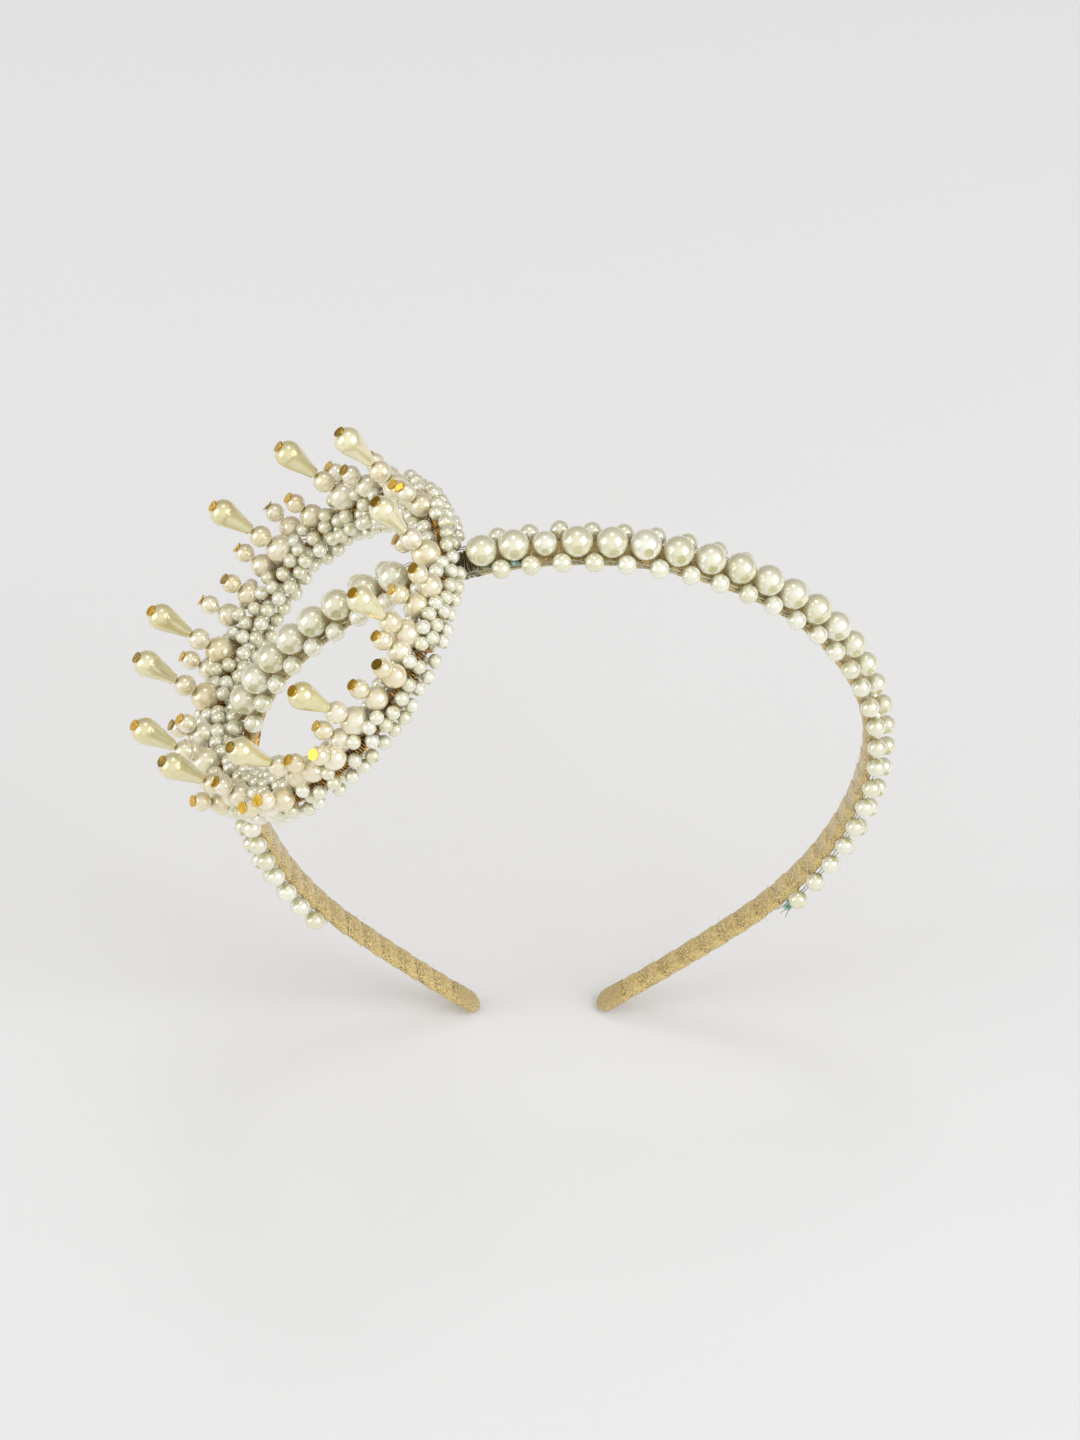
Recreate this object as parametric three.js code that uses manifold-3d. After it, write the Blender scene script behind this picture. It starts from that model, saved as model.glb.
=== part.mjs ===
// A pearl hair band with a small round crown tied on beside its top.
// Frame: +X to the wearer's left as seen from the front, +Y to the back edge of the band, +Z up.
// The origin is on the inner face of the wrapped band, at its top.
import * as THREE from 'three';
import { mergeVertices } from 'three/addons/utils/BufferGeometryUtils.js';
import Module from 'manifold-3d';

const wasm = await Module();
wasm.setup();

// ---- Driving dimensions, in millimetres and degrees ----

// Band: half of its centre line, from the top down to one tip, as arcs that run on from each other.
const BAND_ARCS = [
  { radius: 63.1, sweep: 94 },
  { radius: 87, sweep: 38 },
  { radius: 430, sweep: 5.3 },
];
const RIBBON_WIDTH = 5.4;
const RIBBON_THICKNESS = 2;
const RIBBON_WALL = 0.4;
const STRIP_CLEARANCE = 0.15;
const TIP_COVER_LENGTH = 7;
const TIP_COVER_GAP = 0.3;
const BAND_STATION_STEP = 7;

// Pearl rows along the band. The rows are looser on the right than from the top to the crown.
const MIDDLE_PEARL = 6.3;
const SMALLER_PEARL = 5;
const SIDE_MIDDLE_PEARL = 4;
const EDGE_PEARL = 4;
const LOOSE_PITCH = MIDDLE_PEARL + 0.1;
const TIGHT_PITCH = MIDDLE_PEARL - 0.36;
const SIDE_PITCH = SIDE_MIDDLE_PEARL + 1.6;
const EDGE_ROW_ACROSS = RIBBON_WIDTH / 2 + EDGE_PEARL / 2 - 0.6;
const EDGE_ROW_HEIGHT = RIBBON_THICKNESS / 2 + 0.5;
const MIDDLE_ROW_ACROSS = -1;
const MIDDLE_ROW_STANDOFF = 0.1;
const ROW_END_RIGHT = 147;
const REAR_ROW_END = 100;
const ROW_END_LEFT = 154;
const INSIDE_ROW_START = 35.5;
const INSIDE_ROW_END = 86;
const LEFT_ROW_START = 108.6;
const MIDDLE_TAPER_RIGHT = { start: 50, end: 88 };
const MIDDLE_TAPER_LEFT = { start: 88, end: 104 };
const THREAD_RADIUS = 0.25;
const THREAD_DIP = -0.3;

// Crown: a wire hoop that sits across the band.
const CROWN_SEAT = 25.4;
const CROWN_RADIUS = 34.5;
const CROWN_TILT = 4.2;
const HOOP_RADIUS = 0.7;
const WINDING_RADIUS = 1.3;
const WINDING_SLIT = 40;
const UPPER_STANDOFF = 0.5;
const LOWER_STANDOFF = 4.2;
const FIT_GAP = 0.3;
const HOOP_STATIONS = 40;

// Small pearls in rows around the hoop.
const BASE_PEARL = 3;
const BASE_PEARL_PITCH = BASE_PEARL + 0.3;
const BASE_ROW_RADIUS = WINDING_RADIUS + BASE_PEARL / 2 + 0.25;
const BASE_THREAD_RADIUS = 0.4;
const BASE_ROWS = [
  { name: 'base_pearls_outer_upper', at: 10 },
  { name: 'base_pearls_outer_lower', at: -50 },
  { name: 'base_pearls_inner_lower', at: 230 },
  { name: 'base_pearls_inner_upper', at: 170 },
];

// Tall spikes: a teardrop bead on a head pin, over a medium and a large pearl.
const TEARDROP_ANGLES = [223, 256, 289, 330, 348, 19, 49, 86, 114, 147, 178];
const TEARDROP_LENGTH = 10;
const TEARDROP_DIAMETER = 5.6;
const TEARDROP_NARROW_END = 2.2;
const TEARDROP_BORE_RADIUS = 0.55;
const SPIKE_LARGE_PEARL = 6;
const SPIKE_MEDIUM_PEARL = 4.5;
const SPIKE_SEAT_HEIGHT = WINDING_RADIUS + SPIKE_LARGE_PEARL / 2 + 0.4;
const SPIKE_FAN = 2.6;
const SPIKE_FAN_SKEW = 2.4;
const SPIKE_FAN_SKEW_AT = 155;
const PIN_RADIUS = 0.25;
const PIN_HEAD_RADIUS = 1.15;
const PIN_HEAD_THICKNESS = 0.4;

// Short spikes: two pearls under a pin head, between neighbouring teardrops.
const SHORT_SPIKE_SPACING = 13;
const SHORT_SPIKE_MINIMUM_GAP = 20;
const SHORT_LARGE_PEARL = 5;
const SHORT_SMALL_PEARL = 4;
const SHORT_SEAT_HEIGHT = WINDING_RADIUS + SHORT_LARGE_PEARL / 2 + 0.8;
const SHORT_LEAN = 20;
const SHORT_SEAT_OUTER = 2.4;
const SHORT_SEAT_INNER = -2.2;

// Wire that ties the hoop down to the band.
const TIE_WALL = 0.45;
const TIE_LENGTH = 3.4;
const TIE_CLEARANCE = 0.15;
const TIE_WIRE_RADIUS = 0.3;

const STRAND_SIDES = 5;
const BASE_STRAND_SIDES = 4;
const LATHE_SIDES = 6;

// ---- Materials ----

function material(color, roughness, metalness) {
  return new THREE.MeshStandardMaterial({ color, roughness, metalness });
}

const finishes = {
  steel: material('#9a9c9e', 0.4, 1),
  ribbon: material('#cbb67a', 0.8, 0.2),
  pearl: material('#efece0', 0.25, 0),
  rosePearl: material('#f1e9e2', 0.25, 0),
  cream: material('#e6dfb8', 0.25, 0),
  gold: material('#c9962f', 0.35, 1),
  hoopWire: material('#8a6b30', 0.5, 0.8),
  tieWire: material('#5d564a', 0.55, 0.8),
};

const crown = new THREE.Group();
const object = new THREE.Group();
object.add(crown);

function addMesh(group, name, geometry, finish) {
  const mesh = new THREE.Mesh(geometry, finishes[finish]);
  mesh.name = name;
  group.add(mesh);
  return mesh;
}

// ---- Shapes ----

// Volume inside a closed triangle mesh, negative if its faces point in.
function signedVolume(geometry) {
  const position = geometry.attributes.position;
  const index = geometry.index;
  const [a, b, c] = [new THREE.Vector3(), new THREE.Vector3(), new THREE.Vector3()];
  let total = 0;
  for (let i = 0; i < index.count; i += 3) {
    a.fromBufferAttribute(position, index.getX(i));
    b.fromBufferAttribute(position, index.getX(i + 1));
    c.fromBufferAttribute(position, index.getX(i + 2));
    total += a.dot(b.cross(c)) / 6;
  }
  return total;
}

function faceOutwards(geometry) {
  if (signedVolume(geometry) < 0) {
    const index = geometry.index;
    for (let i = 0; i < index.count; i += 3) {
      const second = index.getX(i + 1);
      index.setX(i + 1, index.getX(i + 2));
      index.setX(i + 2, second);
    }
  }
  return geometry;
}

// Skins a row of outlines that all have the same number of points. A row that isn't closed gets flat ends.
function loft(outlines, closed = false) {
  const sides = outlines[0].length;
  const positions = outlines.flat().flatMap((p) => [p.x, p.y, p.z]);
  const index = [];
  const spans = closed ? outlines.length : outlines.length - 1;
  for (let i = 0; i < spans; i++) {
    const here = i * sides;
    const next = ((i + 1) % outlines.length) * sides;
    for (let j = 0; j < sides; j++) {
      const k = (j + 1) % sides;
      index.push(here + j, here + k, next + k, here + j, next + k, next + j);
    }
  }
  if (!closed) {
    const last = (outlines.length - 1) * sides;
    for (let j = 1; j < sides - 1; j++) {
      index.push(0, j + 1, j, last, last + j, last + j + 1);
    }
  }
  const geometry = new THREE.BufferGeometry();
  geometry.setAttribute('position', new THREE.Float32BufferAttribute(positions, 3));
  geometry.setIndex(index);
  return faceOutwards(geometry);
}

// Turns a half outline of [radius, height] points about +Z.
function turned(outline, closed = false) {
  const points = outline.map(([radius, height]) => new THREE.Vector2(radius, height));
  if (closed) points.push(points[0].clone());
  const lathe = new THREE.LatheGeometry(points, LATHE_SIDES);
  lathe.deleteAttribute('normal');
  lathe.deleteAttribute('uv');
  return faceOutwards(withoutSlivers(mergeVertices(lathe.rotateX(Math.PI / 2), 1e-4)));
}

// Leaves out the triangles that a lathe folds flat where its outline meets the axis.
function withoutSlivers(geometry) {
  const kept = [];
  const { array } = geometry.index;
  for (let i = 0; i < array.length; i += 3) {
    const [a, b, c] = array.slice(i, i + 3);
    if (a !== b && b !== c && c !== a) kept.push(a, b, c);
  }
  geometry.setIndex(kept);
  return geometry;
}

function toSolid(geometry) {
  const vertProperties = new Float32Array(geometry.attributes.position.array);
  const triVerts = new Uint32Array(geometry.index.array);
  return new wasm.Manifold(new wasm.Mesh({ numProp: 3, vertProperties, triVerts }));
}

function toGeometry(solid) {
  const mesh = solid.getMesh();
  const geometry = new THREE.BufferGeometry();
  geometry.setAttribute('position', new THREE.BufferAttribute(mesh.vertProperties, 3));
  geometry.setIndex(new THREE.BufferAttribute(mesh.triVerts, 1));
  return geometry;
}

function joined(geometries) {
  return toGeometry(geometries.map(toSolid).reduce((sum, solid) => sum.add(solid)));
}

// ---- The band's centre line ----

const degrees = THREE.MathUtils.degToRad;
const BAND_HALF_LENGTH = BAND_ARCS.reduce((sum, arc) => sum + arc.radius * degrees(arc.sweep), 0);
const ribbonEnd = BAND_HALF_LENGTH - TIP_COVER_LENGTH;

// An odd number of flat spans puts the middle of one at the top, and the origin is on its inner face.
const bandSpans = 2 * Math.round(ribbonEnd / BAND_STATION_STEP) + 1;
const topSpanAngle = (ribbonEnd - TIP_COVER_GAP) / bandSpans / BAND_ARCS[0].radius;
const INNER_TOP_RADIUS = BAND_ARCS[0].radius - RIBBON_THICKNESS / 2;
const TOP_HEIGHT = RIBBON_THICKNESS / 2 + INNER_TOP_RADIUS * (1 - Math.cos(topSpanAngle));

// Point on the centre line at a signed distance from the top, with the outward normal and the tangent.
function bandPoint(distance) {
  const side = Math.sign(distance) || 1;
  let left = Math.abs(distance);
  let heading = 0;
  const at = new THREE.Vector2(0, TOP_HEIGHT);
  for (const [i, arc] of BAND_ARCS.entries()) {
    const length = arc.radius * degrees(arc.sweep);
    const step = i === BAND_ARCS.length - 1 ? left : Math.min(left, length);
    const turn = step / arc.radius;
    at.x += arc.radius * (Math.sin(heading + turn) - Math.sin(heading));
    at.y += arc.radius * (Math.cos(heading + turn) - Math.cos(heading));
    heading += turn;
    left -= step;
    if (left <= 0) break;
  }
  return {
    point: new THREE.Vector3(side * at.x, 0, at.y),
    normal: new THREE.Vector3(side * Math.sin(heading), 0, Math.cos(heading)),
  };
}

// Point beside the centre line: across is along Y, height is along the outward normal.
function besideBand(distance, across, height) {
  const { point, normal } = bandPoint(distance);
  return point.clone().addScaledVector(normal, height).add(new THREE.Vector3(0, across, 0));
}

// Place on the centre line that is nearest to a point.
function nearestOnBand(point) {
  let best = { distance: 0, away: Infinity };
  for (let distance = -BAND_HALF_LENGTH; distance <= BAND_HALF_LENGTH; distance += 0.25) {
    const at = bandPoint(distance).point;
    const away = Math.hypot(point.x - at.x, point.z - at.z);
    if (away < best.away) best = { distance, away };
  }
  return best;
}

// Distance from a point to a flat round-edged strip of some width along the band.
function distanceToBand(point, width) {
  const across = Math.max(Math.abs(point.y) - (width - RIBBON_THICKNESS) / 2, 0);
  return Math.hypot(nearestOnBand(point).away, across) - RIBBON_THICKNESS / 2;
}

// ---- Where the crown sits ----

// The hoop rests across the band at two places that are one hoop diameter apart.
function crownFrame() {
  const lift = RIBBON_THICKNESS / 2 + WINDING_RADIUS;
  const upper = besideBand(-CROWN_SEAT, 0, lift + UPPER_STANDOFF);
  let near = CROWN_SEAT;
  let far = BAND_HALF_LENGTH;
  for (let i = 0; i < 60; i++) {
    const middle = (near + far) / 2;
    const reached = besideBand(-middle, 0, lift + LOWER_STANDOFF).distanceTo(upper) > 2 * CROWN_RADIUS;
    if (reached) far = middle;
    else near = middle;
    if (far - near < 1e-6) break;
  }
  const lowerSeat = near;
  const lower = besideBand(-lowerSeat, 0, lift + LOWER_STANDOFF);
  const towardsLower = lower.clone().sub(upper).normalize();
  const upright = new THREE.Vector3(towardsLower.z, 0, -towardsLower.x);
  const axis = upright.multiplyScalar(Math.cos(degrees(CROWN_TILT)));
  axis.y = Math.sin(degrees(CROWN_TILT));
  const towardsFront = axis.clone().cross(towardsLower);
  const centre = upper.clone().add(lower).multiplyScalar(0.5);
  return { centre, axis, towardsLower, towardsFront, lowerSeat };
}

const seat = crownFrame();
crown.position.copy(seat.centre);
crown.quaternion.setFromRotationMatrix(
  new THREE.Matrix4().makeBasis(seat.towardsLower, seat.towardsFront, seat.axis),
);
crown.updateMatrixWorld(true);

// Point near the hoop, in the crown's own frame: outward from the hoop's wire, and height above it.
function aroundHoop(angle, outward, height) {
  const radius = CROWN_RADIUS + outward;
  return new THREE.Vector3(
    radius * Math.cos(degrees(angle)),
    radius * Math.sin(degrees(angle)),
    height,
  );
}

function distanceToHoop(point) {
  const local = crown.worldToLocal(point.clone());
  return Math.hypot(Math.hypot(local.x, local.y) - CROWN_RADIUS, local.z);
}

// ---- Band pieces ----

// Cross-section of the band, an elongated hexagon, at a distance from the top.
function bandOutline(distance, width, thickness) {
  const flat = Math.max(width - thickness, 0) / 2;
  const tip = width / 2;
  const half = thickness / 2;
  const corners = [[flat, half], [tip, 0], [flat, -half], [-flat, -half], [-tip, 0], [-flat, half]];
  return corners.map(([across, height]) => besideBand(distance, across, height));
}

const boreWidth = RIBBON_WIDTH - 2 * RIBBON_WALL;
const boreThickness = RIBBON_THICKNESS - 2 * RIBBON_WALL;

function bandStations(end) {
  return Array.from({ length: bandSpans + 1 }, (_, i) => end * ((2 * i) / bandSpans - 1));
}

function bandStrip() {
  const end = BAND_HALF_LENGTH - RIBBON_WIDTH / 2;
  const inner = bandStations(ribbonEnd);
  const width = boreWidth - 2 * STRIP_CLEARANCE;
  const thickness = boreThickness - 2 * STRIP_CLEARANCE;
  return loft([-end, ...inner, end].map((s) => bandOutline(s, width, thickness)));
}

function ribbonWrap() {
  const along = bandStations(ribbonEnd - TIP_COVER_GAP);
  const outside = along.map((s) => bandOutline(s, RIBBON_WIDTH, RIBBON_THICKNESS));
  const inside = along.map((s) => bandOutline(s, boreWidth, boreThickness)).reverse();
  return loft([...outside, ...inside], true);
}

// A cup over the end of the strip, with a half-round end.
function tipCover(side) {
  const round = RIBBON_WIDTH / 2;
  const start = BAND_HALF_LENGTH - round;
  const outer = [0, 0.5, 0.85, 0.99].map((part) => {
    const width = RIBBON_WIDTH * Math.sqrt(1 - part * part);
    const thickness = Math.min(RIBBON_THICKNESS * (1 - 0.25 * part * part), width);
    return bandOutline(side * (start + part * round), width, thickness);
  });
  const boreEnd = start + FIT_GAP;
  const bore = [boreEnd, ribbonEnd].map((s) => bandOutline(side * s, boreWidth, boreThickness));
  return loft([...bore, bandOutline(side * ribbonEnd, RIBBON_WIDTH, RIBBON_THICKNESS), ...outer]);
}

addMesh(object, 'band_strip', bandStrip(), 'steel');
addMesh(object, 'ribbon_wrap', ribbonWrap(), 'ribbon');
addMesh(object, 'tip_cover_left', tipCover(-1), 'ribbon');
addMesh(object, 'tip_cover_right', tipCover(1), 'ribbon');

// ---- Pearl rows along the band ----

// A ring of points around a strand, square to its run.
function strandRing(at, ahead, radius, sides) {
  const run = ahead.clone().normalize();
  const first = new THREE.Vector3(0, 1, 0).cross(run).normalize();
  const second = run.clone().cross(first);
  return Array.from({ length: sides }, (_, i) => {
    const angle = (2 * Math.PI * i) / sides;
    return at.clone()
      .addScaledVector(first, radius * Math.cos(angle))
      .addScaledVector(second, radius * Math.sin(angle));
  });
}

// Stretches of the rows, each counted from its start. The middle row has its first pearl there. The
// rear row is left off the lower arms, where it would rub the head.
const ROW_STRETCHES = [
  { from: -LEFT_ROW_START, to: -ROW_END_LEFT, rearTo: -LEFT_ROW_START, pitch: SIDE_PITCH, first: 0 },
  { from: -INSIDE_ROW_START, to: -INSIDE_ROW_END, rearTo: -INSIDE_ROW_END, pitch: LOOSE_PITCH, first: 0 },
  { from: 0, to: -CROWN_SEAT, rearTo: -CROWN_SEAT, pitch: TIGHT_PITCH, first: 1 },
  { from: 0, to: ROW_END_RIGHT, rearTo: REAR_ROW_END, pitch: LOOSE_PITCH, first: 0 },
];

function middlePearlDiameter(distance) {
  if (distance < 0 && distance > -1.5 * TIGHT_PITCH) return SMALLER_PEARL;
  const taper = distance > 0 ? MIDDLE_TAPER_RIGHT : MIDDLE_TAPER_LEFT;
  const part = THREE.MathUtils.smoothstep(Math.abs(distance), taper.start, taper.end);
  return THREE.MathUtils.lerp(MIDDLE_PEARL, SIDE_MIDDLE_PEARL, part);
}

const baseReach = BASE_ROW_RADIUS + BASE_PEARL / 2;

function clearOfCrown(point, radius) {
  return distanceToHoop(point) > baseReach + radius + FIT_GAP;
}

// Places of the pearls in one row, without the ones that the crown takes the place of. The edge
// rows stand half a pitch on from the middle row.
function rowPlaces(across, heightOf, diameterOf) {
  const places = [];
  for (const { from, to, rearTo, pitch, first } of ROW_STRETCHES) {
    const stagger = across === MIDDLE_ROW_ACROSS ? first : 0.5;
    const side = Math.sign(to - from);
    const length = Math.abs((across > 0 ? rearTo : to) - from);
    for (let steps = stagger; steps * pitch <= length; steps++) {
      const distance = from + side * steps * pitch;
      const radius = diameterOf(distance) / 2;
      const height = heightOf(radius);
      if (clearOfCrown(besideBand(distance, across, height), radius)) {
        places.push({ distance, radius, height });
      }
    }
  }
  return places.sort((a, b) => a.distance - b.distance);
}

// Pearls joined by their thread. Where pearls are left out, the thread dips beside the band.
function bandStrand(places, across) {
  const outlines = [];
  const ring = (distance, height, radius) => {
    const at = besideBand(distance, across, height);
    const ahead = besideBand(distance + 0.01, across, height).sub(at);
    outlines.push(strandRing(at, ahead, radius, STRAND_SIDES));
  };
  places.forEach(({ distance, radius, height }, i) => {
    ring(distance - radius, height, THREAD_RADIUS);
    ring(distance - radius / 2, height, radius * 0.87);
    ring(distance + radius / 2, height, radius * 0.87);
    ring(distance + radius, height, THREAD_RADIUS);
    const gap = i + 1 < places.length ? places[i + 1].distance - distance : 0;
    if (gap > 1.5 * LOOSE_PITCH) {
      for (const part of [0.3, 0.5, 0.7]) ring(distance + gap * part, THREAD_DIP, THREAD_RADIUS);
    }
  });
  return loft(outlines);
}

const edgeHeight = () => EDGE_ROW_HEIGHT;
const edgeDiameter = () => EDGE_PEARL;
const frontPlaces = rowPlaces(-EDGE_ROW_ACROSS, edgeHeight, edgeDiameter);
const rearPlaces = rowPlaces(EDGE_ROW_ACROSS, edgeHeight, edgeDiameter);
addMesh(object, 'front_pearl_row', bandStrand(frontPlaces, -EDGE_ROW_ACROSS), 'pearl');
addMesh(object, 'rear_pearl_row', bandStrand(rearPlaces, EDGE_ROW_ACROSS), 'pearl');

// The middle row lies on the ribbon, so the hoop splits it into three strands.
// Its smaller pearls settle a little closer to the ribbon.
const middleHeight = (radius) => RIBBON_THICKNESS / 2 + MIDDLE_ROW_STANDOFF + MIDDLE_PEARL / 2
  - (MIDDLE_PEARL / 2 - radius) / 2;
const middlePlaces = rowPlaces(MIDDLE_ROW_ACROSS, middleHeight, middlePearlDiameter);
const middleStrands = {
  middle_pearl_row_right: middlePlaces.filter(({ distance }) => distance > -CROWN_SEAT),
  middle_pearl_row_inside: middlePlaces.filter(
    ({ distance }) => distance < -CROWN_SEAT && distance > -seat.lowerSeat,
  ),
  middle_pearl_row_left: middlePlaces.filter(({ distance }) => distance < -seat.lowerSeat),
};
for (const [name, places] of Object.entries(middleStrands)) {
  addMesh(object, name, bandStrand(places, MIDDLE_ROW_ACROSS), 'pearl');
}

// ---- Crown base ----

function hoop() {
  const outlines = Array.from({ length: HOOP_STATIONS }, (_, i) => {
    const angle = (360 * i) / HOOP_STATIONS;
    return [0, 90, 180, 270].map((turn) => aroundHoop(
      angle, HOOP_RADIUS * Math.cos(degrees(turn)), HOOP_RADIUS * Math.sin(degrees(turn))));
  });
  return loft(outlines, true);
}

// The winding is a sleeve around the hoop, with a slit along its underside.
function hoopWinding() {
  const inner = HOOP_RADIUS + TIE_CLEARANCE;
  const half = WINDING_SLIT / 2;
  const turns = [-90 + half, 0, 90, 180, 270 - half];
  const outlines = Array.from({ length: HOOP_STATIONS }, (_, i) => {
    const angle = (360 * i) / HOOP_STATIONS;
    const at = (turn, radius) => aroundHoop(
      angle, radius * Math.cos(degrees(turn)), radius * Math.sin(degrees(turn)));
    return [...turns.map((turn) => at(turn, WINDING_RADIUS)),
      ...[...turns].reverse().map((turn) => at(turn, inner))];
  });
  return loft(outlines, true);
}

addMesh(crown, 'crown_hoop', hoop(), 'steel');
addMesh(crown, 'hoop_winding', hoopWinding(), 'hoopWire');

const edgeRowsWidth = 2 * (EDGE_ROW_ACROSS + THREAD_RADIUS + FIT_GAP);

function clearOfBand(local, radius) {
  const world = crown.localToWorld(local.clone());
  return distanceToBand(world, edgeRowsWidth) > radius + FIT_GAP;
}

// One row of small pearls. It has no pearls where they would run into the band, and it is open
// where its thread would.
function basePearls(at) {
  const outward = BASE_ROW_RADIUS * Math.cos(degrees(at));
  const height = BASE_ROW_RADIUS * Math.sin(degrees(at));
  const count = Math.round((2 * Math.PI * (CROWN_RADIUS + outward)) / BASE_PEARL_PITCH);
  const radius = BASE_PEARL / 2;
  const isClear = (index, size) => clearOfBand(
    aroundHoop((360 * index) / count, outward, height), size);
  const thread = Array.from({ length: count }, (_, i) => isClear(i, BASE_THREAD_RADIUS));
  const closed = thread.every(Boolean);
  const start = closed ? 0 : thread.findIndex((free, i) => free && !thread[(i + count - 1) % count]);
  const outlines = [];
  for (let i = 0; i < count; i++) {
    const index = (start + i) % count;
    if (!thread[index]) break;
    const size = isClear(index, radius) ? radius : BASE_THREAD_RADIUS;
    for (const [part, ringSize] of [[-0.5, BASE_THREAD_RADIUS], [0, size]]) {
      outlines.push(baseRing(((index + part) * 360) / count, outward, height, ringSize));
    }
  }
  return loft(outlines, closed);
}

function baseRing(angle, outward, height, radius) {
  const centre = aroundHoop(angle, outward, height);
  const away = aroundHoop(angle, 1, 0).sub(aroundHoop(angle, 0, 0));
  return Array.from({ length: BASE_STRAND_SIDES }, (_, i) => {
    const turn = (2 * Math.PI * i) / BASE_STRAND_SIDES;
    return centre.clone()
      .addScaledVector(away, radius * Math.cos(turn))
      .add(new THREE.Vector3(0, 0, radius * Math.sin(turn)));
  });
}

for (const { name, at } of BASE_ROWS) addMesh(crown, name, basePearls(at), 'pearl');

// ---- Wires that tie the crown to the band ----

function tieSleeve(from, to) {
  const wall = (extra) => [RIBBON_WIDTH + 2 * extra, RIBBON_THICKNESS + 2 * extra];
  const outside = [from, to].map((s) => bandOutline(s, ...wall(TIE_CLEARANCE + TIE_WALL)));
  const inside = [to, from].map((s) => bandOutline(s, ...wall(TIE_CLEARANCE)));
  return loft([...outside, ...inside], true);
}

function upperTie() {
  const end = -CROWN_SEAT + WINDING_RADIUS + FIT_GAP;
  return tieSleeve(end, end + TIE_LENGTH);
}

// The lower tie also has a wire that stands up from the band to the underside of the hoop.
function lowerTie() {
  const underHoop = (drop) => crown.localToWorld(aroundHoop(0, 0, -drop));
  const insideWall = TIE_CLEARANCE + TIE_WALL / 2;
  const top = WINDING_RADIUS + FIT_GAP;
  let bottom = top;
  while (distanceToBand(underHoop(bottom), RIBBON_WIDTH) > insideWall) bottom += 0.1;
  const middle = nearestOnBand(underHoop(bottom)).distance;
  const sleeve = tieSleeve(middle - TIE_LENGTH / 2, middle + TIE_LENGTH / 2);
  const run = seat.axis;
  const wire = loft([top, bottom].map((drop) => strandRing(underHoop(drop), run, TIE_WIRE_RADIUS, 6)));
  return joined([sleeve, wire]);
}

addMesh(object, 'crown_tie_upper', upperTie(), 'tieWire');
addMesh(object, 'crown_tie_lower', lowerTie(), 'tieWire');

// ---- Spikes ----

// Sets a piece made along +Z on the hoop, leaning outward from its own seat.
function placeSpike(mesh, angle, outward, height, lean) {
  const away = aroundHoop(angle, 1, 0).sub(aroundHoop(angle, 0, 0));
  const direction = away.multiplyScalar(Math.sin(lean));
  direction.z = Math.cos(lean);
  mesh.position.copy(aroundHoop(angle, outward, height));
  mesh.quaternion.setFromUnitVectors(new THREE.Vector3(0, 0, 1), direction);
}

// Half outline of one pearl, from its lower to its upper pole.
function pearlOutline(centre, diameter) {
  const radius = diameter / 2;
  return [[radius * 0.87, centre - radius / 2], [radius * 0.87, centre + radius / 2]];
}

const mediumCentre = SPIKE_LARGE_PEARL / 2 + SPIKE_MEDIUM_PEARL / 2;
const teardropStart = mediumCentre + SPIKE_MEDIUM_PEARL / 2 + FIT_GAP;
const teardropEnd = teardropStart + TEARDROP_LENGTH;
const tallPinEnd = teardropEnd + FIT_GAP + PIN_HEAD_THICKNESS;

function spikePearls() {
  const hole = PIN_RADIUS + FIT_GAP;
  const neck = (mediumCentre + SPIKE_LARGE_PEARL / 2 - SPIKE_MEDIUM_PEARL / 2) / 2 + 0.4;
  return turned([
    [hole, -SPIKE_LARGE_PEARL / 2 + FIT_GAP],
    ...pearlOutline(0, SPIKE_LARGE_PEARL),
    [1.1, neck + 0.6],
    ...pearlOutline(mediumCentre, SPIKE_MEDIUM_PEARL),
    [hole, teardropStart - 2 * FIT_GAP],
  ], true);
}

function teardropBead() {
  const radius = TEARDROP_DIAMETER / 2;
  const widest = teardropEnd - radius * 1.05;
  return turned([
    [TEARDROP_BORE_RADIUS, teardropStart],
    [TEARDROP_NARROW_END / 2, teardropStart],
    [radius * 0.62, teardropStart + TEARDROP_LENGTH * 0.35],
    [radius, widest],
    [radius * 0.72, teardropEnd - radius * 0.3],
    [TEARDROP_BORE_RADIUS, teardropEnd],
  ], true);
}

function headPin(foot, end) {
  return turned([
    [0, foot],
    [PIN_RADIUS, foot],
    [PIN_RADIUS, end - PIN_HEAD_THICKNESS],
    [PIN_HEAD_RADIUS, end - PIN_HEAD_THICKNESS],
    [PIN_HEAD_RADIUS, end],
    [0, end],
  ]);
}

TEARDROP_ANGLES.forEach((angle, i) => {
  const number = String(i + 1).padStart(2, '0');
  const rise = tallPinEnd;
  const fan = SPIKE_FAN + SPIKE_FAN_SKEW * Math.cos(degrees(angle - SPIKE_FAN_SKEW_AT));
  const lean = Math.asin(fan / rise);
  const pinFoot = -(SPIKE_SEAT_HEIGHT - WINDING_RADIUS - 2 * FIT_GAP);
  const pieces = [
    addMesh(crown, `teardrop_pin_${number}`, headPin(pinFoot, tallPinEnd), 'gold'),
    addMesh(crown, `teardrop_bead_${number}`, teardropBead(), 'cream'),
    addMesh(crown, `spike_pearls_${number}`, spikePearls(), 'rosePearl'),
  ];
  for (const piece of pieces) placeSpike(piece, angle, 0, SPIKE_SEAT_HEIGHT, lean);
});

// ---- Short spikes ----

const shortUpper = (SHORT_LARGE_PEARL + SHORT_SMALL_PEARL) / 2;
const shortTop = shortUpper + SHORT_SMALL_PEARL / 2;

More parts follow.
